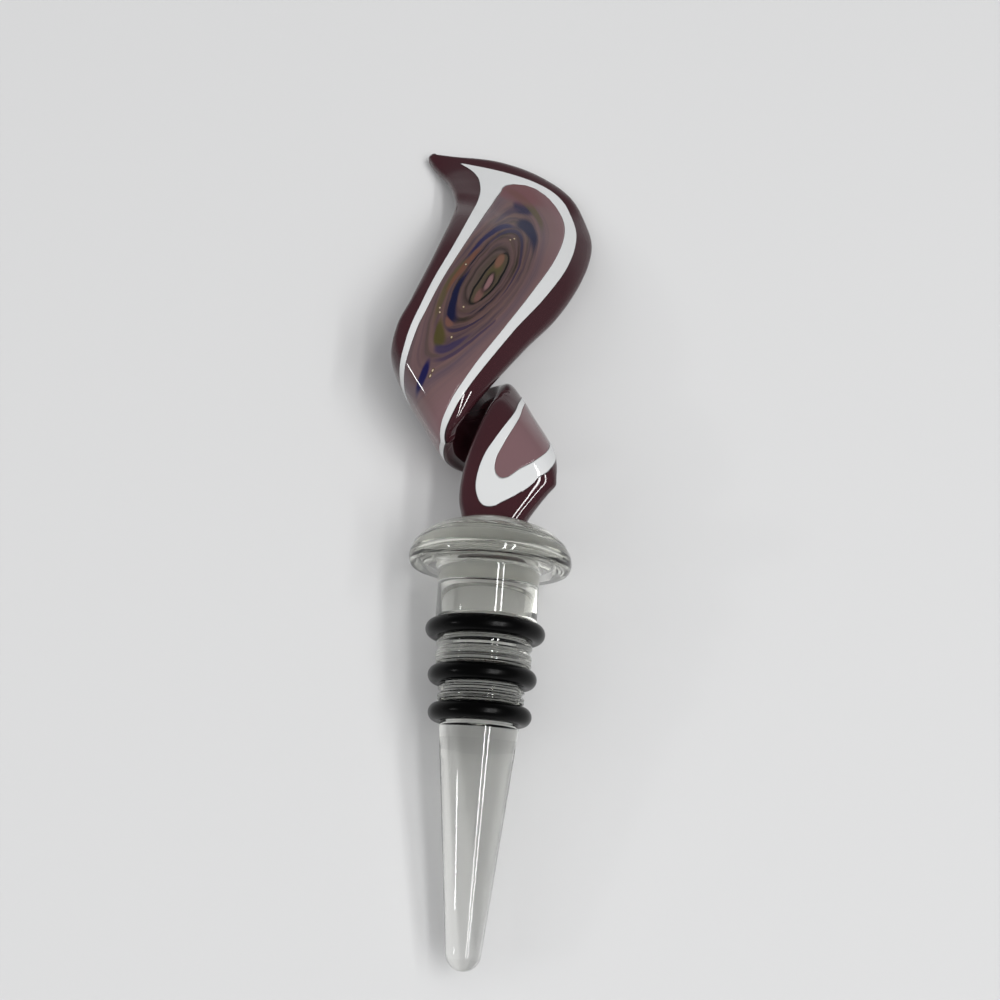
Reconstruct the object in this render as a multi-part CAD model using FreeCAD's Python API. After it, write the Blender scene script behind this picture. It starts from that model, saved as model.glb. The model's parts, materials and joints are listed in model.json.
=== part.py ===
import FreeCAD, Part
import math
import os

V = FreeCAD.Vector

# All sizes are in millimetres. The stopper is drawn standing: its stem axis is Z, the underside
# of the flange is z = 0, the tip points down and the finial up. Y points away from the side
# with the white loop. At the end the whole stopper is laid down on its flange and finial.

# Clear glass stem
flange_radius = 14.1
flange_edge_height = 1.5
dome_height = 7.4
seat_outer_radius = 13.3
neck_fillet = 0.9
neck_radius = 8.7
first_land_radius = 8.2
second_land_radius = 7.35
tongue_top_radius = 6.75
tongue_end_radius = 2.9
stem_length = 66.0

# Rubber rings, from the flange down
ring_section = 3.2
ring_squeeze = 0.1
top_ring_diameter = 20.5
middle_ring_diameter = 18.5
bottom_ring_diameter = 17.5
top_ring_height = -10.9
middle_ring_height = -18.7
bottom_ring_height = -25.0
groove_side_gap = 0.15
groove_lip = 0.35

# Ribbon of the finial
ribbon_thickness = 4.4
root_thickness = 6.5
horn_thickness = 3.0
crown_power = 3.0
coil_centre = V(-4.1, 5.5, 28.6)
coil_radius = 8.0
coil_pitch = 20.0
coil_lean = 33.0
coil_start = 20.0
coil_end = 265.0
coil_step = 35.0
coil_width_start = 14.6
coil_width_end = 18.6
coil_back_angle = 225.0
coil_back_lean = 15.0
coil_back_lift = 2.5
paddle_width = 28.6

# White loop and swirl panel
inlay_depth = 0.6
inlay_proud = 0.1

# Densities in g/mm3, for how the stopper lies
glass_density = 0.0025
rubber_density = 0.00115

# Widths of the root, from the dome upwards: height, centre x, centre y, width, thickness share
ROOT = [
    (4.0, 0.3, 0.0, 11.0, 1.0),
    (8.4, 0.6, 0.0, 12.0, 1.0),
    (13.8, 1.9, -0.8, 16.2, 0.45),
]

# Left and right edge of the paddle, from the coil to the horn
PADDLE = [
    (V(-20.3, 1.5, 39.0), V(-9.8, 0.0, 25.0)),
    (V(-19.5, -1.5, 43.5), V(-6.5, -1.5, 28.0)),
    (V(-17.5, -1.0, 49.0), V(-1.5, -0.5, 33.5)),
    (V(-15.8, 1.5, 55.0), V(4.5, 3.0, 42.0)),
    (V(-13.6, 5.5, 63.5), V(10.0, 7.5, 50.5)),
    (V(-12.0, 10.0, 71.0), V(14.0, 12.5, 60.5)),
    (V(-11.5, 13.5, 75.5), V(16.0, 17.5, 70.0)),
    (V(-12.0, 15.5, 79.0), V(14.5, 20.5, 77.0)),
    (V(-13.0, 17.5, 82.0), V(11.0, 21.5, 83.0)),
    (V(-14.0, 19.0, 84.0), V(4.5, 22.0, 87.5)),
    (V(-15.5, 20.5, 86.0), V(-3.5, 22.0, 90.0)),
    (V(-17.0, 21.5, 88.0), V(-12.0, 22.0, 90.5)),
    (V(-17.9, 21.8, 89.3), V(-16.4, 22.0, 90.8)),
]

# White loop across the ribbon, by section number: outer left, inner left, inner right, outer right.
# 1 is the ribbon's left edge and -1 its right edge.
LOOP_SIDES = [
    (2.5, 0.62, 0.33, -0.15, -0.68),
    (3.0, 0.52, 0.30, -0.50, -0.85),
    (4.0, 0.60, 0.38, -0.58, -0.86),
    (6.0, 0.61, 0.39, -0.62, -0.86),
    (9.0, 0.55, 0.33, -0.70, -0.88),
    (11.0, 0.50, 0.30, -0.74, -0.90),
    (12.0, 0.68, 0.52, -0.70, -0.88),
    (12.5, 0.78, 0.61, -0.60, -0.81),
    (13.0, 0.86, 0.69, -0.50, -0.72),
    (14.0, 0.89, 0.73, -0.36, -0.59),
    (15.0, 0.87, 0.71, -0.33, -0.59),
    (16.0, 0.83, 0.67, -0.44, -0.70),
    (17.0, 0.79, 0.59, -0.53, -0.74),
    (18.0, 0.69, 0.42, -0.56, -0.80),
    (18.5, 0.61, 0.30, -0.54, -0.76),
]
OUTER_START = [(1.5, 0.15, 0.05), (1.6, 0.36, -0.06), (1.8, 0.54, -0.25), (2.0, 0.61, -0.43)]
OUTER_END = [(19.0, 0.58, -0.71), (19.5, 0.52, -0.58), (20.0, 0.47, -0.38), (20.5, 0.39, -0.16), (21.0, 0.28, 0.02),
             (21.4, 0.22, 0.10)]
INNER_START = [(2.28, 0.14, 0.05), (2.36, 0.27, -0.04)]
INNER_END = [(18.8, 0.20, -0.49), (19.0, 0.06, -0.42), (19.15, -0.08, -0.32)]


def arc(start, middle, end):
    return Part.Arc(start, middle, end).toShape()


def revolve(edges):
    face = Part.Face(Part.Wire(edges))
    return face.revolve(V(0, 0, 0), V(0, 0, 1), 360)


def ring_inner_radius(diameter):
    return diameter / 2 - ring_section


def groove(height, diameter, upper_radius, lower_radius):
    """Corner points of a ring groove, from its upper lip to its lower lip."""
    half = ring_section / 2 + groove_side_gap
    floor = ring_inner_radius(diameter) + ring_squeeze
    return [
        V(upper_radius, 0, height + half + groove_lip),
        V(upper_radius - groove_lip, 0, height + half),
        V(floor, 0, height + half),
        V(floor, 0, height - half),
        V(lower_radius - groove_lip, 0, height - half),
        V(lower_radius, 0, height - half - groove_lip),
    ]


def glass_stem():
    """Domed flange, neck with three grooves and tapered tongue in one revolved piece."""
    rim = flange_radius - seat_outer_radius
    crown = flange_edge_height + dome_height
    quarter = [math.pi / 2 * k / 8 for k in range(9)]
    dome = Part.BSplineCurve()
    dome.interpolate(
        [V(flange_radius * math.cos(t), 0, flange_edge_height + dome_height * math.sin(t)) for t in quarter],
        InitialTangent=V(0, 0, 1), FinalTangent=V(-1, 0, 0))
    edges = [dome.toShape()]
    edges.append(arc(
        V(flange_radius, 0, flange_edge_height),
        V(seat_outer_radius + rim * math.cos(math.pi / 4), 0, flange_edge_height * (1 - math.sin(math.pi / 4))),
        V(seat_outer_radius, 0, 0)))
    seat_inner = neck_radius + neck_fillet
    edges.append(Part.makeLine(V(seat_outer_radius, 0, 0), V(seat_inner, 0, 0)))
    hollow = neck_fillet * (1 - math.cos(math.pi / 4))
    edges.append(arc(V(seat_inner, 0, 0), V(neck_radius + hollow, 0, -hollow), V(neck_radius, 0, -neck_fillet)))
    points = [V(neck_radius, 0, -neck_fillet)]
    points += groove(top_ring_height, top_ring_diameter, neck_radius, first_land_radius)
    points += groove(middle_ring_height, middle_ring_diameter, first_land_radius, second_land_radius)
    points += groove(bottom_ring_height, bottom_ring_diameter, second_land_radius, tongue_top_radius)
    tip_centre = -stem_length + tongue_end_radius
    points.append(V(tongue_end_radius, 0, tip_centre))
    for start, end in zip(points[:-1], points[1:]):
        edges.append(Part.makeLine(start, end))
    diagonal = tongue_end_radius * math.sin(math.pi / 4)
    edges.append(arc(points[-1], V(diagonal, 0, tip_centre - diagonal), V(0, 0, -stem_length)))
    edges.append(Part.makeLine(V(0, 0, -stem_length), V(0, 0, crown)))
    return revolve(edges)


def o_ring(height, diameter):
    """Round rubber ring, pressed flat where it sits on the floor of its groove."""
    radius = ring_section / 2
    centre = diameter / 2 - radius
    floor = ring_inner_radius(diameter) + ring_squeeze
    half = math.sqrt(radius * radius - (centre - floor) ** 2)
    upper = V(floor, 0, height + half)
    lower = V(floor, 0, height - half)
    outside = V(centre + radius, 0, height)
    return revolve([arc(upper, outside, lower), Part.makeLine(lower, upper)])


def coil_section(angle):
    """Section of the coil at an angle round its axis; 0 faces the front and 180 the back.

    Round coil_back_angle the coil leans back and rises, and lies on the table there.
    """
    lean = math.radians(coil_lean)
    turn = math.radians(angle)
    back = max(0, math.cos(turn - math.radians(coil_back_angle)))
    lean_back = math.radians(coil_back_lean) * back
    level = V(-math.sin(lean), 0, math.cos(lean))
    ahead = V(0, -1, 0)
    along = level * math.cos(lean_back) - ahead * math.sin(lean_back)
    front = ahead * math.cos(lean_back) + level * math.sin(lean_back)
    side = V(math.cos(lean), 0, math.sin(lean))
    outward = front * math.cos(turn) + side * math.sin(turn)
    forward = side * math.cos(turn) - front * math.sin(turn)
    rise = coil_pitch * (angle - 180) / 360 + coil_back_lift * back
    centre = coil_centre + outward * coil_radius + along * rise
    climb = math.atan2(coil_pitch, 2 * math.pi * coil_radius)
    left = along * math.cos(climb) - forward * math.sin(climb)
    share = (angle - coil_start) / (coil_end - coil_start)
    width = coil_width_start + (coil_width_end - coil_width_start) * share
    return centre, left, width, ribbon_thickness


def ribbon_sections():
    """Centre, direction to the left edge, width and thickness of each section, from root to horn."""
    sections = []
    for height, x, y, width, share in ROOT:
        thickness = ribbon_thickness + (root_thickness - ribbon_thickness) * share
        sections.append((V(x, y, height), V(-1, 0, 0), width, thickness))
    turns = int(round((coil_end - coil_start) / coil_step))
    for k in range(turns + 1):
        sections.append(coil_section(coil_start + k * (coil_end - coil_start) / turns))
    widest = max((left - right).Length for left, right in PADDLE)
    for k, (left, right) in enumerate(PADDLE):
        share = (k / (len(PADDLE) - 1)) ** 2
        thickness = ribbon_thickness + (horn_thickness - ribbon_thickness) * share
        across = left - right
        width = across.Length * paddle_width / widest
        sections.append(((left + right) * 0.5, across.normalize(), width, thickness))
    return sections


SECTIONS = ribbon_sections()


def through(a, b, c, d, share):
    """Smooth curve from b to c that also leans on its neighbours a and d."""
    return (b * 2 + (c - a) * share + (a * 2 - b * 5 + c * 4 - d) * share ** 2
            + (b * 3 - a - c * 3 + d) * share ** 3) * 0.5


def frame_at(number):
    """Centre, left direction, outward direction, width and thickness at any section number."""
    last = len(SECTIONS) - 1
    k = min(max(int(math.floor(number)), 0), last - 1)
    near = [SECTIONS[min(max(i, 0), last)] for i in (k - 1, k, k + 1, k + 2)]
    share = number - k
    values = [through(near[0][i], near[1][i], near[2][i], near[3][i], share) for i in range(4)]
    step = 0.01
    ahead = through(near[0][0], near[1][0], near[2][0], near[3][0], share + step)
    behind = through(near[0][0], near[1][0], near[2][0], near[3][0], share - step)
    left = values[1].normalize()
    outward = (ahead - behind).cross(left).normalize()
    return values[0], left, outward, values[2], values[3]


def crown(place):
    return (1 - abs(place) ** crown_power) ** (1 / crown_power)


def on_ribbon(frame, place, offset):
    """Point on the outer face at a place from -1 (right) to 1 (left), moved outward by an offset."""
    centre, left, outward, width, thickness = frame
    return centre + left * (place * width / 2) + outward * (thickness / 2 * crown(place) + offset)


def round_section(frame, scale=1.0):
    """Section of the ribbon with full, softly rounded edges: an outer face and an inner face."""
    centre, left, outward, width, thickness = frame
    power = 2 / crown_power
    steps = 12
    halves = []
    for first in (0, steps):
        points = []
        for k in range(first, first + steps + 1):
            t = math.pi * k / steps
            x = math.copysign(abs(math.cos(t)) ** power, math.cos(t)) * width / 2 * scale
            y = math.copysign(abs(math.sin(t)) ** power, math.sin(t)) * thickness / 2 * scale
            points.append(centre + left * x + outward * y)
        curve = Part.BSplineCurve()
        curve.interpolate(points)
        halves.append(curve.toShape())
    return Part.Wire(halves)


def ribbon():
    """The whole ribbon from its root in the dome to the rounded end of the horn."""
    last = len(SECTIONS) - 1
    numbers = [k / 2 for k in range(2 * last + 1)]
    wires = [round_section(frame_at(n)) for n in numbers]
    centre, left, outward, width, thickness = frame_at(last)
    forward = left.cross(outward) * -1
    tip = (centre + forward * (thickness * 0.3), left, outward, width, thickness)
    wires.append(round_section(tip, 0.6))
    return Part.makeLoft(wires, True, False)


def strip_section(number, left_place, right_place, low, high):
    """Four-sided section of an inlay between two places across the ribbon."""
    frame = frame_at(number)
    places = [right_place + (left_place - right_place) * k / 6 for k in range(7)]
    upper = Part.BSplineCurve()
    upper.interpolate([on_ribbon(frame, p, high) for p in places])
    lower = Part.BSplineCurve()
    lower.interpolate([on_ribbon(frame, p, low) for p in reversed(places)])
    corners = [on_ribbon(frame, left_place, high), on_ribbon(frame, left_place, low),
               on_ribbon(frame, right_place, low), on_ribbon(frame, right_place, high)]
    return Part.Wire([upper.toShape(), Part.makeLine(corners[0], corners[1]),
                      lower.toShape(), Part.makeLine(corners[2], corners[3])])


def side_places(number, left_column, right_column):
    """Left and right place of the loop at a section number, between the rows of LOOP_SIDES."""
    for before, after in zip(LOOP_SIDES[:-1], LOOP_SIDES[1:]):
        if number <= after[0]:
            break
    share = (number - before[0]) / (after[0] - before[0])
    return [before[c] + (after[c] - before[c]) * share for c in (left_column, right_column)]


def inlay(start, end, left_column, right_column, low, high):
    """Inlaid strip with rounded ends, following the ribbon's outer face."""
    rows = list(start)
    first, last = LOOP_SIDES[0][0], LOOP_SIDES[-1][0]
    for k in range(int((last - first) * 2) + 1):
        number = first + k / 2
        rows.append([number] + side_places(number, left_column, right_column))
    rows += list(end)
    wires = [strip_section(n, left, right, low, high) for n, left, right in rows]
    return Part.makeLoft(wires, True, False)


def pieces():
    """Every piece of the standing stopper by name."""
    stem = glass_stem()
    loop_area = inlay(OUTER_START, OUTER_END, 1, 4, -inlay_depth, inlay_proud)
    panel_cutter = inlay(INNER_START, INNER_END, 2, 3, -inlay_depth - 0.5, inlay_proud + 0.5)
    return {
        "glass_stem": stem,
        "glass_finial": ribbon().cut(stem).cut(loop_area).Solids[0],
        "white_loop": loop_area.cut(panel_cutter).Solids[0],
        "swirl_panel": loop_area.common(panel_cutter).Solids[0],
        "o_ring_top": o_ring(top_ring_height, top_ring_diameter),
        "o_ring_middle": o_ring(middle_ring_height, middle_ring_diameter),
        "o_ring_bottom": o_ring(bottom_ring_height, bottom_ring_diameter),
    }


def contact_points():
    """Points of the flange edge and of both faces of the ribbon on the table's side."""
    turns = [math.radians(2 * k) for k in range(90)]
    points = [V(flange_radius * math.cos(t), flange_radius * math.sin(t), flange_edge_height) for t in turns]
    for k in range(2 * len(SECTIONS) - 1):
        centre, left, outward, width, thickness = frame_at(k / 2)
        for step in range(-10, 11):
            place = step / 10
            middle = centre + left * (place * width / 2)
            reach = outward * (thickness / 2 * crown(place))
            points += [middle + reach, middle - reach]
    return [p for p in points if p.y > flange_radius / 2]


def lowest(height, low, high):
    """Place between low and high where a height with one valley is lowest."""
    while high - low > 0.005:
        third = (high - low) / 3
        if height(low + third) < height(high - third):
            high -= third
        else:
            low += third
    return (low + high) / 2


def rest_pose(solids):
    """Tilt and roll in degrees at which the centre of mass lies lowest over the table."""
    mass, centre = 0, V(0, 0, 0)
    for name, solid in solids.items():
        share = solid.Volume * (rubber_density if name.startswith("o_ring") else glass_density)
        mass += share
        centre += solid.CenterOfMass * share
    centre = centre * (1 / mass)
    points = contact_points()

    def height(tilt, roll):
        up = lying(tilt, roll).inverted().multVec(V(0, 0, 1))
        return up.dot(centre) - min(up.dot(p) for p in points)

    def best_roll(tilt):
        return lowest(lambda roll: height(tilt, roll), -6, 6)

    tilt = lowest(lambda tilt: height(tilt, best_roll(tilt)), 3, 9)
    return tilt, best_roll(tilt)


def lying(tilt, roll):
    return FreeCAD.Rotation(V(0, 1, 0), roll) * FreeCAD.Rotation(V(1, 0, 0), tilt - 90)


def lay_down(solids):
    """Turn the standing pieces on to the table, finial towards +Y, with their box over the origin."""
    turn = lying(*rest_pose(solids))
    for solid in solids.values():
        solid.Placement = FreeCAD.Placement(V(0, 0, 0), turn)
    whole = Part.Compound(list(solids.values()))
    whole.tessellate(0.05)
    box = whole.optimalBoundingBox(True, False)
    shift = V(-box.Center.x, -box.Center.y, -box.ZMin)
    for solid in solids.values():
        solid.Placement = FreeCAD.Placement(shift, turn)
    return solids


os.makedirs("parts", exist_ok=True)
for name, solid in lay_down(pieces()).items():
    solid.exportStep("parts/" + name + ".step")
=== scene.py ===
import json
import math

import bmesh
import bpy
import numpy as np
from mathutils import Matrix


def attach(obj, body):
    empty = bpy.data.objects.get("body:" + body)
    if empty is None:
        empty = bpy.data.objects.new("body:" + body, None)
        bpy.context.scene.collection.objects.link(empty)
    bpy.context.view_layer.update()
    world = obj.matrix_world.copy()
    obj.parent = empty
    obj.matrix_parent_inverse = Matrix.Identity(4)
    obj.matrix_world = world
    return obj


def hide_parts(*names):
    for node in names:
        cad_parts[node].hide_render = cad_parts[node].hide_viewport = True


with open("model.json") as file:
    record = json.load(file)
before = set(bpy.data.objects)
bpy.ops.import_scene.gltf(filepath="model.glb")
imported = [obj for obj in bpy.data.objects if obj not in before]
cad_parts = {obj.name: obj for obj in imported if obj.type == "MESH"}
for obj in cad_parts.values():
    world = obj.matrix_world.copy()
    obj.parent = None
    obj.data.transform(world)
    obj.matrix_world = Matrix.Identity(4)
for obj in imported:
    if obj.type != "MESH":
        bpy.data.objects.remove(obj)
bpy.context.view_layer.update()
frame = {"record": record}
MM = 0.001

# Sizes in millimetres, as the CAD model has them. The stopper is drawn standing, with its stem
# axis as Z and the underside of the flange at z = 0, and is then laid down.
flange_radius = 14.1
flange_edge_height = 1.5
dome_height = 7.4
seat_outer_radius = 13.3
neck_radius = 8.7
neck_fillet = 0.9
first_land_radius = 8.2
second_land_radius = 7.35
tongue_top_radius = 6.75
tongue_end_radius = 2.9
stem_length = 66.0

# Rubber rings: height of the middle and outer diameter of each
rings = {"o_ring_top": (-10.9, 20.5), "o_ring_middle": (-18.7, 18.5), "o_ring_bottom": (-25.0, 17.5)}
ring_section = 3.2
ring_squeeze = 0.1
groove_side_gap = 0.15
groove_lip = 0.35

# Marks of the jacks on the land below each ring: height, half width and depth
land_marks = [[(-14.3, 0.6, 0.45), (-15.9, 0.2, 0.2)], [(-21.6, 0.5, 0.4), (-22.6, 0.15, 0.15)], []]
edge_softening = 0.09

# Spiral groove on the dome: mm from turn to turn, depth, sharpness, and where it fades out
winding_pitch = 2.7
winding_depth = 0.15
winding_sharpness = 40
winding_rim_fade = 1.2
winding_inner_radius = 4.0

# Ribbon, its coil with the hidden back, and what is inlaid in it; angles are in degrees
ribbon_thickness = 4.4
root_thickness = 6.5
horn_thickness = 3.0
crown_power = 3.0
paddle_width = 28.6
coil_centre = (-4.1, 5.5, 28.6)
coil_radius = 8.0
coil_pitch = 20.0
coil_lean = 33.0
coil_back_angle = 225.0
coil_back_lean = 15.0
coil_back_lift = 2.5
coil_start = 20.0
coil_end = 265.0
coil_step = 35.0
coil_width_start = 14.6
coil_width_end = 18.6
inlay_depth = 0.6
inlay_proud = 0.1
loop_shoulder = 0.06
panel_shoulder = 0.05
swirl_section = 14.6

# The shown ribbon starts at this section, with its first rows sunk into the dome or rising from it, and
# ends in a round cap whose length is a share of its thickness
root_section = 0.9
root_sink = 0.25
root_rows = 60
root_row_rise = 0.02
horn_cap = 0.42

# Points that each surface is worked out at, along or round it and across it
stem_steps = 256
ring_steps = (160, 64)
ribbon_steps = (760, 96)
loop_steps = 620
panel_steps = (900, 49)

# Painted shade at the white loop's edges: dark up to the first distance from the edge and gone at the second.
# It is fainter at the inner edge, where this share of the white shows through it.
edge_shade_outer = (0.12, 0.42)
edge_shade_inner = (0.02, 0.3)
edge_shade_inner_white = 0.35

# Widths of the root, from the dome upwards: height, centre x, centre y, width, thickness share
ROOT = [(4.0, 0.3, 0.0, 11.0, 1.0), (8.4, 0.6, 0.0, 12.0, 1.0), (13.8, 1.9, -0.8, 16.2, 0.45)]

# Left and right edge of the paddle, from the coil to the horn
PADDLE = np.array([
    (-20.3, 1.5, 39.0, -9.8, 0.0, 25.0), (-19.5, -1.5, 43.5, -6.5, -1.5, 28.0),
    (-17.5, -1.0, 49.0, -1.5, -0.5, 33.5), (-15.8, 1.5, 55.0, 4.5, 3.0, 42.0),
    (-13.6, 5.5, 63.5, 10.0, 7.5, 50.5), (-12.0, 10.0, 71.0, 14.0, 12.5, 60.5),
    (-11.5, 13.5, 75.5, 16.0, 17.5, 70.0), (-12.0, 15.5, 79.0, 14.5, 20.5, 77.0),
    (-13.0, 17.5, 82.0, 11.0, 21.5, 83.0), (-14.0, 19.0, 84.0, 4.5, 22.0, 87.5),
    (-15.5, 20.5, 86.0, -3.5, 22.0, 90.0), (-17.0, 21.5, 88.0, -12.0, 22.0, 90.5),
    (-17.9, 21.8, 89.3, -16.4, 22.0, 90.8)])

# Sections eased one by one, in millimetres: section number, right edge let out, moved sideways, moved up
EASED = [
    (1, -0.8, 0, 0), (2, -0.8, 0, 0), (3, 2.1, 0, 0), (4, 0.2, -0.8, 0), (5, 0, -1.2, 0), (6, 0, -0.6, 0),
    (8, 0, 0.4, 0.3), (9, 0.8, 0.9, 0.9), (10, 1.4, 1.1, 0.9), (11, 1.8, 0.5, 0.4), (12, 0.8, 0, 0),
    (13, -0.5, 0, 0), (14, -0.9, 0, 0), (15, -0.8, 0, 0), (16, -0.4, 0, 0), (17, -0.4, 0, 0),
    (18, -0.3, 0, 0)]

# Places of the white loop across the ribbon, where 1 is the left edge and -1 the right: section number,
# outer left, inner left, inner right, outer right
SIDES = np.array([
    (2.5, 0.66, 0.38, -0.13, -0.60), (2.75, 0.58, 0.36, -0.33, -0.73), (3.0, 0.53, 0.34, -0.46, -0.80),
    (4.0, 0.56, 0.40, -0.62, -0.88), (6.0, 0.59, 0.41, -0.66, -0.88), (9.0, 0.52, 0.33, -0.78, -0.93),
    (11.0, 0.47, 0.31, -0.84, -0.95), (11.5, 0.60, 0.45, -0.73, -0.87), (12.0, 0.68, 0.53, -0.65, -0.79),
    (12.5, 0.75, 0.61, -0.61, -0.75), (13.0, 0.79, 0.65, -0.58, -0.73), (14.0, 0.82, 0.69, -0.55, -0.70),
    (15.0, 0.80, 0.67, -0.51, -0.70), (16.0, 0.78, 0.62, -0.54, -0.74), (17.0, 0.74, 0.55, -0.56, -0.74),
    (17.5, 0.70, 0.48, -0.57, -0.74), (18.0, 0.65, 0.39, -0.57, -0.74), (18.5, 0.60, 0.27, -0.52, -0.73)])

# Where the loop's outer and inner outlines turn round at either end: section number, left and right place
OUTER_START = [
    (1.5, 0.29, 0.19), (1.53, 0.37, 0.10), (1.6, 0.45, 0.02), (1.75, 0.54, -0.17), (2.0, 0.64, -0.42),
    (2.25, 0.68, -0.54)]
OUTER_END = [
    (19.0, 0.55, -0.65), (19.5, 0.49, -0.48), (20.0, 0.43, -0.24), (20.5, 0.36, -0.02), (21.0, 0.28, 0.14),
    (21.2, 0.24, 0.18)]
INNER_START = [(2.28, 0.18, 0.11), (2.31, 0.25, 0.04), (2.38, 0.33, -0.04)]
INNER_END = [(18.8, 0.19, -0.43), (19.0, 0.08, -0.36), (19.12, -0.05, -0.26)]


def unit(vectors):
    """Vectors brought to a length of 1."""
    return vectors / np.linalg.norm(vectors, axis=-1, keepdims=True)


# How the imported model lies, from its bottle seal, which is at the middle ring and points to the stem's
# tip. The standing X has no part along the frame's Y.
seal = next(mount for mount in frame["record"]["mounts"] if mount["name"] == "bottle_neck_seal")
lie_z = -np.array(seal["axis"])
lie_x = unit(np.array([lie_z[2], 0.0, -lie_z[0]]))
lie_y = np.cross(lie_z, lie_x)
lie_shift = np.array(seal["pos_m"]) / MM - lie_z * rings["o_ring_middle"][0]


def lay(points):
    """Standing points in millimetres, laid down in the frame in metres."""
    return (points[..., :1] * lie_x + points[..., 1:2] * lie_y + points[..., 2:3] * lie_z + lie_shift) * MM


def smooth(keys, values, at):
    """Smooth curve through rows of values at rising keys, with slopes taken from the neighbours."""
    slopes = np.gradient(values, keys, axis=0)
    k = np.clip(np.searchsorted(keys, at, side="right") - 1, 0, len(keys) - 2)
    span = (keys[k + 1] - keys[k])[:, None]
    t = (at - keys[k])[:, None] / span
    start = (2 * t**3 - 3 * t**2 + 1) * values[k] + (t**3 - 2 * t**2 + t) * span * slopes[k]
    return start + (3 * t**2 - 2 * t**3) * values[k + 1] + (t**3 - t**2) * span * slopes[k + 1]


def coil_row(angle):
    """Section of the coil at an angle round its leaning axis; the hidden back leans and rises more."""
    lean, turn = math.radians(coil_lean), math.radians(angle)
    back = max(0, math.cos(turn - math.radians(coil_back_angle)))
    lean_back = math.radians(coil_back_lean) * back
    level, ahead = np.array([-math.sin(lean), 0, math.cos(lean)]), np.array([0, -1, 0])
    along = level * math.cos(lean_back) - ahead * math.sin(lean_back)
    front = ahead * math.cos(lean_back) + level * math.sin(lean_back)
    side = np.array([math.cos(lean), 0, math.sin(lean)])
    outward = front * math.cos(turn) + side * math.sin(turn)
    forward = side * math.cos(turn) - front * math.sin(turn)
    rise = coil_pitch * (angle - 180) / 360 + coil_back_lift * back
    centre = np.array(coil_centre) + outward * coil_radius + along * rise
    climb = math.atan2(coil_pitch, 2 * math.pi * coil_radius)
    left = along * math.cos(climb) - forward * math.sin(climb)
    share = (angle - coil_start) / (coil_end - coil_start)
    return [*centre, *left, coil_width_start + (coil_width_end - coil_width_start) * share, ribbon_thickness]


def ribbon_rows():
    """Centre, left direction, width and thickness of each numbered section, from root to horn."""
    rows = [[x, y, z, -1, 0, 0, width, ribbon_thickness + (root_thickness - ribbon_thickness) * share]
            for z, x, y, width, share in ROOT]
    count = round((coil_end - coil_start) / coil_step)
    rows += [coil_row(coil_start + (coil_end - coil_start) * k / count) for k in range(count + 1)]
    left, right = PADDLE[:, :3], PADDLE[:, 3:]
    width = np.linalg.norm(left - right, axis=1)
    share = np.linspace(0, 1, len(PADDLE)) ** 2
    thick = ribbon_thickness + (horn_thickness - ribbon_thickness) * share
    across = (left - right) / width[:, None]
    paddle = np.column_stack([(left + right) / 2, across, width * paddle_width / width.max(), thick])
    rows = np.vstack([rows, paddle])
    for number, let_out, sideways, up in EASED:
        rows[number, :3] += [sideways, 0, up] - rows[number, 3:6] * let_out / 2
        rows[number, 6] += let_out
    return rows


SECTIONS = ribbon_rows()
LAST = len(SECTIONS) - 1


def frames(numbers):
    """Centre, left, outward, width and thickness at section numbers, by a Catmull-Rom curve."""
    k = np.clip(np.floor(numbers).astype(int), 0, LAST - 1)
    a, b, c, d = (SECTIONS[np.clip(k + i, 0, LAST)] for i in (-1, 0, 1, 2))

    def through(share):
        s = share[:, None]
        bend = (2 * a - 5 * b + 4 * c - d) * s**2 + (3 * b - a - 3 * c + d) * s**3
        return 0.5 * (2 * b + (c - a) * s + bend)

    share = numbers - k
    rows = through(share)
    ahead, behind = through(share + 0.01), through(share - 0.01)
    left = unit(rows[:, 3:6])
    outward = unit(np.cross(ahead[:, :3] - behind[:, :3], left))
    return rows[:, :3], left, outward, rows[:, 6], rows[:, 7]


def crown(place):
    """Rise of the rounded face at a place across, as a share of half the thickness: a superellipse."""
    return (1 - np.clip(np.abs(place), 0, 1) ** crown_power) ** (1 / crown_power)


def on_ribbon(numbers, places, offset):
    """Points of the outer face at section numbers and places across, moved outward by an offset in mm."""
    centre, left, outward, width, thick = frames(numbers.ravel())
    places = places.ravel()
    rise = thick / 2 * crown(places) + np.broadcast_to(offset, numbers.shape).ravel()
    points = centre + left * (places * width / 2)[:, None] + outward * rise[:, None]
    return points.reshape(*numbers.shape, 3)


def listed(grid, capped):
    """A grid's points as one list and, if it is capped, the middles of its first and last rows after them."""
    middles = [grid[0].mean(0), grid[-1].mean(0)] if capped else np.zeros((0, 3))
    return np.vstack([grid.reshape(-1, 3), middles])


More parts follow.
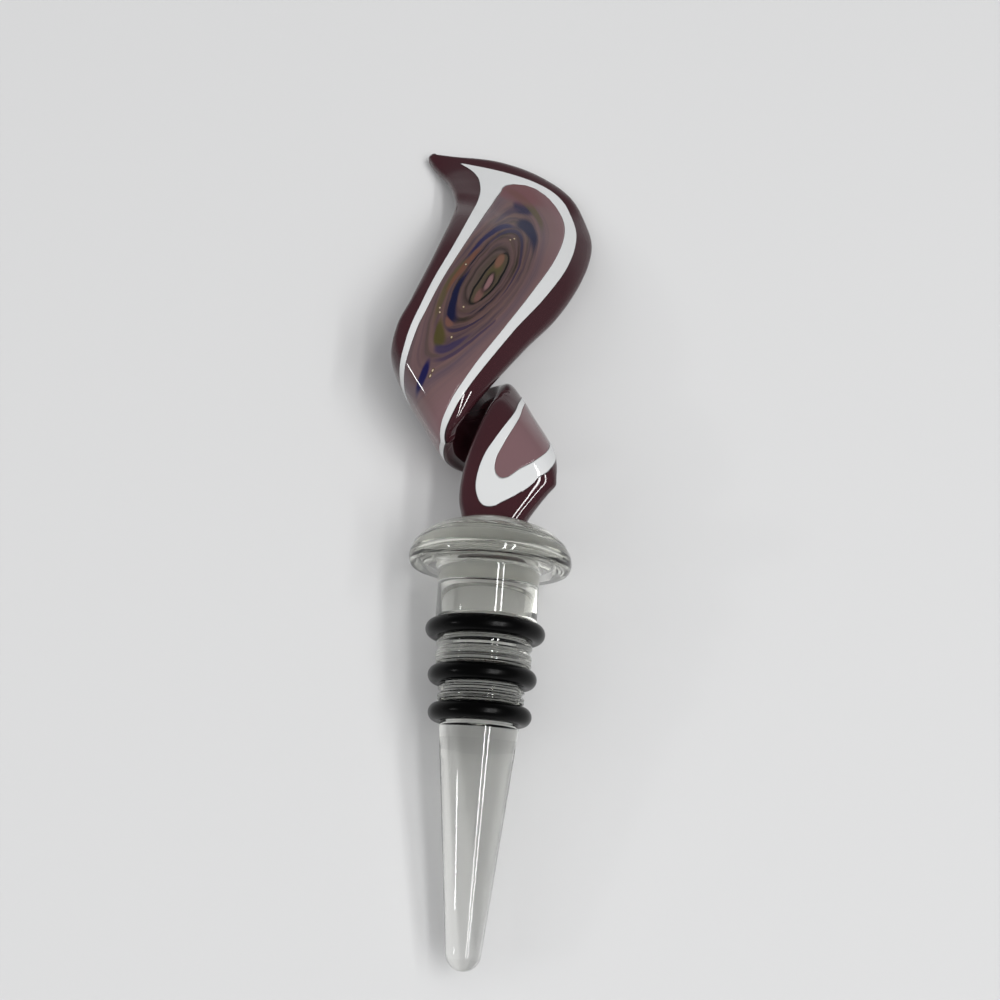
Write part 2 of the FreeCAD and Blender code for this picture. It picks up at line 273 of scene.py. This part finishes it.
def mesh_object(name, points, capped, strip=None):
    """Closed mesh of a grid of points whose columns join up; its rows join up too or, capped, end in fans.

    The strip holds the pattern's flat coordinates of the same points.
    """
    rows, columns = points.shape[:2]
    corners = np.arange(rows * columns).reshape(rows, columns)
    here, above = (corners[:-1], corners[1:]) if capped else (corners, np.roll(corners, -1, axis=0))
    quads = np.stack([here, np.roll(here, -1, axis=1), np.roll(above, -1, axis=1), above], -1)
    faces = quads.reshape(-1, 4).tolist()
    if capped:
        for middle, rim in zip((rows * columns, rows * columns + 1), corners[[0, -1]]):
            faces += np.stack([np.full(columns, middle), rim, np.roll(rim, -1)], -1).tolist()
    mesh = bpy.data.meshes.new(name)
    mesh.from_pydata(listed(points, capped).tolist(), [], faces)
    form = bmesh.new()
    form.from_mesh(mesh)
    bmesh.ops.recalc_face_normals(form, faces=form.faces)
    form.to_mesh(mesh)
    form.free()
    mesh.shade_smooth()
    if strip is not None:
        flat = listed(strip, capped).astype(np.float32).ravel()
        mesh.attributes.new("strip", "FLOAT_VECTOR", "POINT").data.foreach_set("vector", flat)
    made = bpy.data.objects.new(name, mesh)
    bpy.context.scene.collection.objects.link(made)
    return made


def arc(centre, radii, start, end, count):
    """Rows of radius and height along an ellipse, from one angle in degrees to another."""
    t = np.radians(np.linspace(start, end, count))
    return np.column_stack([centre[0] + radii[0] * np.cos(t), centre[1] + radii[1] * np.sin(t)])


def turned(radius, height, angle):
    """Points at a radius, a height and an angle round the stem's axis."""
    return np.stack(np.broadcast_arrays(radius * np.cos(angle), radius * np.sin(angle), height), -1)


def softened(corners):
    """Polyline with each inner corner cut back a little, so that it shades as a fire-polished edge."""
    corners = np.asarray(corners, float)
    rows = [corners[0]]
    for before, here, after in zip(corners[:-2], corners[1:-1], corners[2:]):
        for other in (before, after):
            reach = min(edge_softening, np.linalg.norm(other - here) / 3)
            rows.append(here + unit(other - here) * reach)
    rows.append(corners[-1])
    return np.array(rows)


def ring_floor(diameter):
    """Radius of the groove's floor under a ring of this outer diameter."""
    return diameter / 2 - ring_section + ring_squeeze


def groove(height, diameter, upper, lower):
    """Corners of a ring's groove, between the radii of the lands above and below it."""
    half, floor = ring_section / 2 + groove_side_gap, ring_floor(diameter)
    return [(upper, height + half + groove_lip), (upper - groove_lip, height + half), (floor, height + half),
            (floor, height - half), (lower - groove_lip, height - half), (lower, height - half - groove_lip)]


def tool_mark(radius, height, half, depth):
    """Corners of a shallow mark pressed round a land by the jacks."""
    return [(radius, height + half), (radius - depth, height + half / 3), (radius - depth, height - half / 3),
            (radius, height - half)]


def stem_profile():
    """Rows of radius and height: domed flange, flat seat, neck with three grooves, tongue and round tip."""
    dome = arc((0, flange_edge_height), (flange_radius, dome_height), 90, 0, 150)
    rim = (flange_radius - seat_outer_radius, flange_edge_height)
    edge = arc((seat_outer_radius, flange_edge_height), rim, 0, -90, 14)
    fillet = arc((neck_radius + neck_fillet, -neck_fillet), (neck_fillet, neck_fillet), 90, 180, 8)
    corners = [fillet[-1]]
    lands = [neck_radius, first_land_radius, second_land_radius, tongue_top_radius]
    for (height, diameter), upper, lower, marks in zip(rings.values(), lands[:-1], lands[1:], land_marks):
        corners += groove(height, diameter, upper, lower)
        for mark in marks:
            corners += tool_mark(lower, *mark)
    tip_height = tongue_end_radius - stem_length
    straight = softened(corners + [(tongue_end_radius, tip_height)])
    tongue = straight[-2] + (straight[-1] - straight[-2]) * np.linspace(0, 1, 20)[1:-1, None]
    tip = arc((0, tip_height), (tongue_end_radius, tongue_end_radius), 0, -90, 16)
    return np.vstack([dome, edge[1:], fillet[:-1], straight[:-1], tongue, tip])


def wound_dome(radius, height, angle):
    """Radius and height with the dome's spiral groove, left by winding the hot glass.

    Its depth is a narrow wave of the radius, moved on by one turn's pitch in each turn.
    """
    turns = radius / winding_pitch - angle / (2 * math.pi)
    wave = np.cos(math.pi * turns) ** winding_sharpness * -winding_depth
    above_rim = np.clip((height - flange_edge_height) / winding_rim_fade, 0, 1)
    wave = wave * above_rim * np.clip(radius / winding_inner_radius - 1, 0, 1)
    slope = np.clip((height - flange_edge_height) / dome_height, 0, 1)
    return radius + wave * (1 - slope), height + wave * slope


def stem_surface():
    """The stem's profile turned round its axis, with the spiral groove in its dome."""
    profile = stem_profile()[1:-1]
    angle = np.linspace(0, 2 * math.pi, stem_steps, endpoint=False)
    radius, height = wound_dome(profile[:, :1], profile[:, 1:], angle)
    return mesh_object("clear_glass_stem", lay(turned(radius, height, angle)), True)


def ring_surface(name, height, diameter):
    """Round rubber ring, flat where it sits on its groove: a circle cut by a chord, turned about the stem."""
    radius = ring_section / 2
    centre = diameter / 2 - radius
    open_side = 180 - math.degrees(math.acos((centre - ring_floor(diameter)) / radius))
    profile = arc((centre, height), (radius, radius), open_side, -open_side, ring_steps[1])
    angle = np.linspace(0, 2 * math.pi, ring_steps[0], endpoint=False)[:, None]
    return mesh_object(name, lay(turned(profile[:, 0], profile[:, 1], angle)), False)


def dome_height_at(radius):
    """Height of the dome over a radius: a quarter of an ellipse."""
    return flange_edge_height + dome_height * np.sqrt(np.clip(1 - (radius / flange_radius) ** 2, 0, 1))


def ribbon_surface():
    """Rounded bar from the dome to the horn: a superellipse carried along the ribbon's numbered frames."""
    centre, left, outward, width, thick = frames(np.linspace(root_section, LAST, ribbon_steps[0]))
    forward = unit(np.cross(left[-1], outward[-1]))
    t = np.linspace(0, math.pi / 2, 9)[1:-1]
    centre = np.vstack([centre, centre[-1] + forward * (thick[-1] * horn_cap * np.sin(t))[:, None]])
    shrink = np.concatenate([np.ones(len(width)), np.cos(t)])
    left, outward = (np.vstack([v, np.repeat(v[-1:], len(t), 0)]) for v in (left, outward))
    width, thick = (np.concatenate([v, np.full(len(t), v[-1])]) * shrink for v in (width, thick))

    t = np.linspace(0, 2 * math.pi, ribbon_steps[1], endpoint=False)
    power = 2 / crown_power
    across = np.sign(np.cos(t)) * np.abs(np.cos(t)) ** power * width[:, None] / 2
    rise = np.sign(np.sin(t)) * np.abs(np.sin(t)) ** power * thick[:, None] / 2
    points = centre[:, None] + left[:, None] * across[..., None] + outward[:, None] * rise[..., None]

    # The lowest rows follow the dome just under its surface, each a little above the one before
    row = np.arange(len(points))[:, None]
    sunk = dome_height_at(np.hypot(points[..., 0], points[..., 1])) - root_sink
    lifted = np.maximum(points[..., 2], sunk + root_row_rise * row)
    points[..., 2] = np.where(row < root_rows, lifted, points[..., 2])
    points[0, :, 2] = sunk[0]
    return mesh_object("amethyst_ribbon", lay(points), True)


def sides(start, end, left_column, right_column, count):
    """Section numbers along an outline, closer together at its ends, with its left and right places."""
    rows = np.vstack([start, SIDES[:, [0, left_column, right_column]], end])
    low, high = rows[0, 0], rows[-1, 0]
    rise = low + (high - low) * (1 - np.cos(np.linspace(0, math.pi, count))) / 2
    left, right = smooth(rows[:, 0], rows[:, 1:], rise).T
    return rise, left, right


def outline(start, end, left_column, right_column):
    """Closed outline as section numbers and places: up the left side and down the right one."""
    rise, left, right = sides(start, end, left_column, right_column, loop_steps)
    return np.concatenate([rise, rise[::-1]])[:, None], np.concatenate([left, right[::-1]])[:, None]


def loop_surface():
    """Raised white band on the ribbon's face, closed on itself.

    Section numbers and places run from the inner outline to the outer one across its top, and back under it.
    Its strip holds the millimetres from the outer edge and from the inner one.
    """
    outer_numbers, outer_places = outline(OUTER_START, OUTER_END, 1, 4)
    inner_numbers, inner_places = outline(INNER_START, INNER_END, 2, 3)
    top, under = [0, 0.03, 0.1, 0.2, 0.3, 0.4, 0.5, 0.6, 0.7, 0.8, 0.9, 0.97, 1], [1, 0.75, 0.5, 0.25]
    height = np.full(len(top), inlay_proud)
    height[[0, -1]] -= loop_shoulder
    share = np.array([0] + top + under)
    offset = np.concatenate([[-inlay_depth], height, np.full(len(under), -inlay_depth)])
    numbers = inner_numbers + (outer_numbers - inner_numbers) * share
    places = inner_places + (outer_places - inner_places) * share
    points = on_ribbon(numbers, places, offset)
    width = np.linalg.norm(points[:, len(top)] - points[:, 1], axis=1)[:, None]
    strip = np.stack([width * (1 - share), width * share, numbers * 0], -1)
    return mesh_object("white_glass_loop", lay(points), False, strip)


def strip_millimetres(numbers, places):
    """Flat coordinates on the ribbon: millimetres along its middle from the swirl's heart, and across it."""
    fine = np.linspace(0, LAST, 2000)
    centre, left, outward, width, thick = frames(fine)
    length = np.concatenate([[0], np.cumsum(np.linalg.norm(np.diff(centre, axis=0), axis=1))])
    along = np.interp(numbers, fine, length) - np.interp(swirl_section, fine, length)
    across = places * np.interp(numbers, fine, width) / 2
    return np.stack([along, across, across * 0], -1)


def panel_surface():
    """Raised strip inside the loop: places run evenly across its inner outline, and back under the face."""
    rise, left, right = sides(INNER_START, INNER_END, 2, 3, panel_steps[0])
    top, under = np.linspace(0, 1, panel_steps[1]), [1, *np.linspace(0.95, 0.05, 8)]
    height = np.full(len(top), inlay_proud)
    height[[0, -1]] -= panel_shoulder
    share = np.concatenate([[0], top, under])
    offset = np.concatenate([[-inlay_depth], height, np.full(len(under), -inlay_depth)])
    places = right[:, None] + (left - right)[:, None] * share
    numbers = np.repeat(rise[:, None], len(share), 1)
    points = on_ribbon(numbers, places, offset)
    return mesh_object("swirl_glass_panel", lay(points), True, strip_millimetres(numbers, places))


def colour(code):
    """Linear RGBA of an sRGB hex colour."""
    parts = [int(code[i:i + 2], 16) / 255 for i in (1, 3, 5)]
    return [c / 12.92 if c <= 0.04045 else ((c + 0.055) / 1.055) ** 2.4 for c in parts] + [1.0]


def add(tree, kind, inputs=(), stops=(), **settings):
    """Adds a node of a kind with its settings.

    Each input is given as a value or as the socket that feeds it, and a ramp's stops as rising positions
    with hex colours.
    """
    made = tree.nodes.new(kind)
    for key, value in settings.items():
        setattr(made, key, value)
    for key, value in dict(inputs).items():
        if isinstance(value, bpy.types.NodeSocket):
            tree.links.new(value, made.inputs[key])
        else:
            made.inputs[key].default_value = value
    if stops:
        elements = made.color_ramp.elements
        elements.remove(elements[1])
        elements[0].position, elements[0].color = stops[0][0], colour(stops[0][1])
        for position, code in stops[1:]:
            elements.new(position).color = colour(code)
    return made


def material(name, finish):
    """Material of one shader with the finish's values."""
    made = bpy.data.materials.new(name)
    made.use_nodes = True
    for key, value in finish.items():
        made.node_tree.nodes["Principled BSDF"].inputs[key].default_value = value
    return made


def paint(made, shade):
    """Feeds a pattern's colour to the material's shader."""
    made.node_tree.links.new(shade, made.node_tree.nodes["Principled BSDF"].inputs["Base Color"])


def tint(made, code, density):
    """Makes the glass darker and more coloured the further light goes through it; density is per metre."""
    tree = made.node_tree
    volume = add(tree, "ShaderNodeVolumeAbsorption", {"Color": colour(code), "Density": density})
    tree.links.new(volume.outputs["Volume"], tree.nodes["Material Output"].inputs["Volume"])


def clear_glass():
    """Borosilicate rod, drawn and pressed hot, fire-polished: colourless, faintly green in the thick rim."""
    made = material("borosilicate_glass_clear", {
        "Base Color": colour("#fdfdfc"), "Roughness": 0.0, "IOR": 1.52, "Transmission Weight": 1.0})
    tint(made, "#f0f2dc", 14.0)
    return made


def amethyst_glass():
    """Rolled amethyst cane glass, bent hot: dull red violet where thin, near black where the coil is deep."""
    made = material("amethyst_glass", {
        "Base Color": colour("#4e2a30"), "Roughness": 0.02, "IOR": 1.52, "Transmission Weight": 0.5})
    tint(made, "#9a4652", 260.0)
    return made


def white_glass():
    """Opal white cane, trailed on and melted in: dense, milky and glossy, with painted shade darkening its
    edges.
    """
    made = material("opal_glass_white", {"Roughness": 0.08, "IOR": 1.52})
    tree = made.node_tree
    strip = add(tree, "ShaderNodeAttribute", attribute_name="strip").outputs["Vector"]
    edges = add(tree, "ShaderNodeSeparateXYZ", {"Vector": strip})
    # Painted shade: the white turns dark near the band's outer and inner edges
    outer = add(tree, "ShaderNodeMapRange", {
        "Value": edges.outputs["X"], "From Min": edge_shade_outer[0], "From Max": edge_shade_outer[1]},
        interpolation_type="SMOOTHSTEP").outputs["Result"]
    inner = add(tree, "ShaderNodeMapRange", {
        "Value": edges.outputs["Y"], "From Min": edge_shade_inner[0], "From Max": edge_shade_inner[1],
        "To Min": edge_shade_inner_white}, interpolation_type="SMOOTHSTEP").outputs["Result"]
    both = add(tree, "ShaderNodeMath", {0: outer, 1: inner}, operation="MULTIPLY").outputs["Value"]
    shade = add(tree, "ShaderNodeValToRGB", {"Fac": both}, [(0.0, "#1d1014"), (1.0, "#cccdcd")])
    paint(made, shade.outputs["Color"])
    return made


def rubber():
    """Moulded nitrile rubber rings: black with a soft satin skin."""
    return material("nitrile_rubber_black", {
        "Base Color": colour("#020202"), "Roughness": 0.25, "IOR": 1.52, "Specular IOR Level": 0.11})


# The swirl's pattern, in millimetres along and across the strip from its heart: how long and how wide its
# coordinates wander, and the swirl's size with the spacing of its fine streaks
wander_length = 7.14
wander_reach = (2.2, 0.8, 0.0)
swirl_middle = (2.0, 1.9)
swirl_half_size = (14.0, 3.7)
streak_spacing = 0.569

# The eye's two ovals round one middle: half sizes and colours, with a nearly sharp edge
eye_middle = (1.5, 1.1)
EYE = [((9.1, 1.85), "#0a0907"), ((8.4, 1.45), "#463c30")]
eye_softness = 0.12

# Distances from the heart are counted in the swirl's half size, and its colours run out to 3 of them. The
# seam where the angle round the heart jumps is turned to where few streaks reach it.
swirl_limit = 3.0
seam_turn = 70.0

# How fast the fine streaks change round the heart and, much less, away from it
streak_turning = 0.14
streak_widening = 0.02

# Colours of the ovals, from the heart outwards, and of the streaks drawn out between them
OVALS = [
    (0.0, "#4c423a"), (0.14, "#453b34"), (0.18, "#4f413e"), (0.205, "#2a2220"), (0.225, "#3f3330"),
    (0.24, "#4b3b3a"), (0.27, "#513f3f"), (0.295, "#33282c"), (0.315, "#4b3c3c"), (0.335, "#17121a"),
    (0.35, "#1d171e"), (0.375, "#503e3c"), (0.42, "#5a4644"), (0.455, "#3f323a"), (0.5, "#5e4a47"),
    (0.545, "#4b3d42"), (0.6, "#654f4f"), (0.66, "#574850"), (0.75, "#685253"), (1.0, "#705659")]
HUES = [
    (0.3, "#161531"), (0.4, "#352a33"), (0.47, "#5f4847"), (0.54, "#644a45"), (0.6, "#483c27"),
    (0.7, "#2f2a19")]

# How strongly the hues cover the ovals, from the heart outwards
COVER = [(0.0, "#545454"), (0.22, "#545454"), (0.28, "#a0a0a0"), (0.5, "#949494"), (1.0, "#000000")]

# Single streaks round the heart: degrees round it, distance, half length in degrees, half width, rise of
# the distance over the half length, colour and strength
STREAKS = [
    (-28, 1.46, 36, 0.17, -0.26, "#0e0f30", 1.0), (48, 1.28, 48, 0.10, 0.12, "#191840", 0.95),
    (145, 0.98, 50, 0.13, 0.07, "#0d102f", 1.0), (-10, 1.80, 20, 0.15, -0.2, "#141336", 0.9),
    (8, 1.06, 60, 0.05, -0.10, "#2a2440", 0.8), (-52, 1.14, 60, 0.05, -0.10, "#2b2338", 0.8),
    (176, 1.34, 22, 0.12, 0.06, "#403c17", 0.85), (118, 1.40, 34, 0.13, 0.05, "#4c4528", 0.7),
    (96, 1.22, 30, 0.12, 0.10, "#66402f", 0.7), (-22, 2.05, 26, 0.16, 0.05, "#4b4428", 0.7),
    (205, 1.52, 26, 0.08, 0.05, "#232044", 0.75), (176, 1.12, 16, 0.05, 0.0, "#69483e", 0.8),
    (214, 1.25, 34, 0.04, 0.06, "#241d38", 0.8), (228, 1.75, 34, 0.05, 0.08, "#2c2540", 0.7),
    (20, 1.62, 30, 0.08, -0.1, "#3a2c40", 0.7)]

# Spots: along, across, half length, half width, turn in degrees, colour and strength
SPOTS = [
    (31.5, 0.5, 4.2, 5.0, 0, "#694548", 0.7), (-23.2, 0.1, 2.5, 0.75, 22, "#181640", 1.0),
    (3.4, 1.2, 3.4, 1.0, -4, "#474128", 0.8), (6.6, 1.6, 2.6, 0.75, 2, "#6d4c3e", 0.9),
    (-4.0, 0.9, 2.2, 0.6, 6, "#694844", 0.8), (0.0, 0.95, 3.2, 0.85, 4, "#1f1618", 0.9),
    (0.0, 0.95, 2.4, 0.45, 4, "#77595a", 1.0)]

# A soft edge makes an oval look smaller, so streaks and spots are drawn larger in length and width
streak_spread = (1.15, 1.3)
spot_spread = (1.2, 1.3)

# Small air bubbles with a painted highlight: along and across, with their size, colours from the rim to the
# painted glint and sharp edge
BUBBLES = [
    (-12.7, 5.2), (-13.5, 4.7), (-15.4, 0.1), (14.0, 1.8), (14.9, 1.2), (-8.7, 1.8), (0.8, 6.4),
    (-22.4, -1.1), (-21.6, -0.9)]
bubble_half_size = (0.42, 0.3)
BUBBLE_AND_GLINT_COLOURS = [(0.0, "#3d2f2a"), (0.4, "#5a4838"), (0.7, "#b8a890")]
bubble_sharpness = 6.0


def oval(tree, coordinates, middle, half, turn=0.0):
    """Coordinates round an oval, turned by degrees: their length is 1 on it."""
    return add(tree, "ShaderNodeMapping", {
        "Vector": coordinates, "Location": (*middle, 0.0), "Rotation": (0.0, 0.0, math.radians(turn)),
        "Scale": (*half, 1.0)}, vector_type="TEXTURE").outputs["Vector"]


def painted(tree, shade, coordinates, code, strength, soft=0.5):
    """One colour over the shade inside an oval, whose edge is soft over a share of the way in."""
    inside = add(tree, "ShaderNodeTexGradient", {"Vector": coordinates}, gradient_type="SPHERICAL")
    cover = add(tree, "ShaderNodeMapRange", {
        "Value": inside.outputs["Fac"], "From Max": soft, "To Max": strength},
        interpolation_type="SMOOTHSTEP").outputs["Result"]
    return add(tree, "ShaderNodeMix", {"Factor": cover, "A": shade, "B": colour(code)},
               data_type="RGBA").outputs["Result"]


def with_bubble_and_glint(tree, shade, coordinates):
    """A small air bubble over the shade, with a painted highlight brighter towards its middle."""
    inside = add(tree, "ShaderNodeTexGradient", {"Vector": coordinates}, gradient_type="SPHERICAL")
    # Painted highlight: the bubble's colour brightens to a glint in its middle
    painted_glint = add(tree, "ShaderNodeValToRGB", {"Fac": inside.outputs["Fac"]}, BUBBLE_AND_GLINT_COLOURS).outputs["Color"]
    edge = add(tree, "ShaderNodeMath", {0: inside.outputs["Fac"], 1: bubble_sharpness},
               operation="MULTIPLY", use_clamp=True).outputs["Value"]
    return add(tree, "ShaderNodeMix", {"Factor": edge, "A": shade, "B": painted_glint},
               data_type="RGBA").outputs["Result"]


def drawn_glass(tree, heart, distance):
    """Ovals of colour round the heart, with noise drawn out along them as fine streaks of other hues."""
    level = add(tree, "ShaderNodeCombineXYZ", {"X": distance}).outputs["Vector"]
    around = add(tree, "ShaderNodeVectorMath", {0: heart}, operation="NORMALIZE").outputs["Vector"]
    drawn = add(tree, "ShaderNodeVectorMath", {0: around, 1: (0.0, streak_turning, 0.0), 2: level},
                operation="MULTIPLY_ADD").outputs["Vector"]
    drawn = add(tree, "ShaderNodeVectorMath", {0: heart, 1: (0.0, streak_widening, 0.0), 2: drawn},
                operation="MULTIPLY_ADD").outputs["Vector"]
    streak = add(tree, "ShaderNodeTexNoise", {
        "Vector": drawn, "Scale": swirl_half_size[1] / streak_spacing, "Detail": 4.0, "Roughness": 0.55})
    hues = add(tree, "ShaderNodeValToRGB", {"Fac": streak.outputs["Fac"]}, HUES).outputs["Color"]
    outward = add(tree, "ShaderNodeMath", {0: distance, 1: swirl_limit}, operation="DIVIDE").outputs["Value"]
    ovals = add(tree, "ShaderNodeValToRGB", {"Fac": outward}, OVALS).outputs["Color"]
    cover = add(tree, "ShaderNodeValToRGB", {"Fac": outward}, COVER).outputs["Color"]
    return add(tree, "ShaderNodeMix", {"Factor": cover, "A": ovals, "B": hues},
               data_type="RGBA").outputs["Result"]


def swirl_glass():
    """Swirl cane pressed flat and marvered in: mauve, with ovals round its heart, blue and olive streaks."""
    made = material("swirl_glass_mauve", {"Roughness": 0.05, "IOR": 1.52})
    tree = made.node_tree

    # A slow wander of the strip's coordinates keeps the ovals from being perfect
    strip = add(tree, "ShaderNodeAttribute", attribute_name="strip").outputs["Vector"]
    wander = add(tree, "ShaderNodeTexNoise", {
        "Vector": strip, "Scale": 1 / wander_length, "Detail": 2.0, "Roughness": 0.5}).outputs["Color"]
    centred = add(tree, "ShaderNodeVectorMath", {0: wander, 1: (0.5, 0.5, 0.5)}, operation="SUBTRACT")
    pushed = add(tree, "ShaderNodeVectorMath", {0: centred.outputs["Vector"], 1: wander_reach, 2: strip},
                 operation="MULTIPLY_ADD").outputs["Vector"]

    # Distance from the heart and angle round it
    round_heart = oval(tree, pushed, swirl_middle, swirl_half_size)
    flat = add(tree, "ShaderNodeVectorMath", {0: round_heart, 1: (1.0, 1.0, 0.0)},
               operation="MULTIPLY").outputs["Vector"]
    distance = add(tree, "ShaderNodeVectorMath", {0: flat}, operation="LENGTH").outputs["Value"]
    heart = add(tree, "ShaderNodeVectorRotate", {"Vector": flat, "Angle": math.radians(-seam_turn)},
                rotation_type="Z_AXIS").outputs["Vector"]
    parts = add(tree, "ShaderNodeSeparateXYZ", {"Vector": heart})
    angle = add(tree, "ShaderNodeMath", {0: parts.outputs["Y"], 1: parts.outputs["X"]}, operation="ARCTAN2")
    polar = add(tree, "ShaderNodeCombineXYZ", {"X": angle.outputs["Value"], "Y": distance}).outputs["Vector"]

    shade = drawn_glass(tree, heart, distance)
    for degrees, away, length, width, rise, code, strength in STREAKS:
        length = math.radians(length)
        half = (length * streak_spread[0], width * streak_spread[1])
        turn = math.degrees(math.atan2(rise, length))
        middle = (math.radians(degrees - seam_turn), away)
        shade = painted(tree, shade, oval(tree, polar, middle, half, turn), code, strength)
    for half, code in EYE:
        shade = painted(tree, shade, oval(tree, pushed, eye_middle, half), code, 1.0, eye_softness)
    for along, across, length, width, turn, code, strength in SPOTS:
        half = (length * spot_spread[0], width * spot_spread[1])
        shade = painted(tree, shade, oval(tree, pushed, (along, across), half, turn), code, strength)
    for middle in BUBBLES:
        shade = with_bubble_and_glint(tree, shade, oval(tree, strip, middle, bubble_half_size))
    paint(made, shade)
    return made


def lamp(name, direction, distance, size, power, mirrored=True, through=False):
    """Rectangular light that faces the stopper from a direction, in metres and watts.

    It may be mirrored in the glass and seen through it, or only light it softly.
    """
    data = bpy.data.lights.new(name, "AREA")
    data.shape, data.energy = "RECTANGLE", power
    data.size, data.size_y = size
    made = bpy.data.objects.new(name, data)
    bpy.context.scene.collection.objects.link(made)
    back = unit(np.array(direction, float))
    side = unit(np.cross([0.0, 1.0, 0.0], back))
    columns = np.column_stack([side, np.cross(back, side), back, back * distance])
    made.matrix_world = Matrix([*columns.tolist(), [0, 0, 0, 1]])
    made.visible_glossy, made.visible_transmission = mirrored, through


# Each visible piece with its finish, the CAD node that it replaces and that node's slot
pieces = [(stem_surface(), clear_glass(), "glass_stem", "clear_glass")]
black_rubber = rubber()
for node, (height, diameter) in rings.items():
    ring = ring_surface(node.replace("o_ring", "rubber_ring"), height, diameter)
    pieces.append((ring, black_rubber, node, "black_rubber"))
pieces.append((ribbon_surface(), amethyst_glass(), "glass_finial", "amethyst_glass"))
pieces.append((loop_surface(), white_glass(), "white_loop", "white_glass"))
pieces.append((panel_surface(), swirl_glass(), "swirl_panel", "swirl_glass"))
for piece, finish, node, slot in pieces:
    piece.data.materials.append(finish)
    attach(piece, "root")
    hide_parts(node)

# Table top: plain, pale and matt
bpy.ops.mesh.primitive_plane_add(size=2.6)
table = bpy.context.object
table.name = "pale_table"
table.data.materials.append(material("matt_paint_pale", {"Base Color": colour("#cdcdcd"), "Roughness": 0.9}))

# Room: pale near the table and dimmer upwards
world = bpy.data.worlds.new("room")
bpy.context.scene.world = world
world.use_nodes = True
tree = world.node_tree
direction = add(tree, "ShaderNodeTexCoord").outputs["Generated"]
upward = add(tree, "ShaderNodeSeparateXYZ", {"Vector": direction}).outputs["Z"]
walls = add(tree, "ShaderNodeValToRGB", {"Fac": upward}, [
    (0.0, "#cfd0d1"), (0.08, "#bcbdbe"), (0.3, "#76777a"), (1.0, "#5a5b5d")])
tree.links.new(walls.outputs["Color"], tree.nodes["Background"].inputs["Color"])

# Two long lamps and a window that the glass mirrors, and soft light from above and both sides
lamp("lamp_near", (0.36, -0.26, 1.0), 1.3, (0.07, 1.07), 5.2)
lamp("lamp_far", (0.63, -0.27, 1.0), 1.4, (0.07, 1.07), 5.6)
lamp("ceiling", (0.1, -0.15, 1.0), 2.0, (3.0, 3.0), 7.5, mirrored=False)
lamp("skylight", (0.0, 0.1, 1.0), 1.9, (2.0, 2.0), 9.0, mirrored=False, through=True)
lamp("right_wall", (0.5, -0.5, 1.0), 1.5, (0.8, 1.0), 3.0, mirrored=False)
lamp("left_wall", (-0.75, -0.1, 0.66), 1.5, (0.9, 1.0), 5.5, mirrored=False, through=True)
lamp("window", (-0.85, -0.235, 0.47), 1.5, (0.08, 0.16), 1.2)

# Camera over the stopper, looking down on it
scene = bpy.context.scene
camera = bpy.data.objects.new("camera", bpy.data.cameras.new("camera"))
scene.collection.objects.link(camera)
camera.data.lens, camera.data.sensor_width = 50.4, 36.0
camera.location = (0.00486, -0.09168, 0.24327)
camera.rotation_euler = (math.radians(21.679), math.radians(-1.065), math.radians(3.586))
scene.camera = camera
scene.view_settings.view_transform = "Standard"
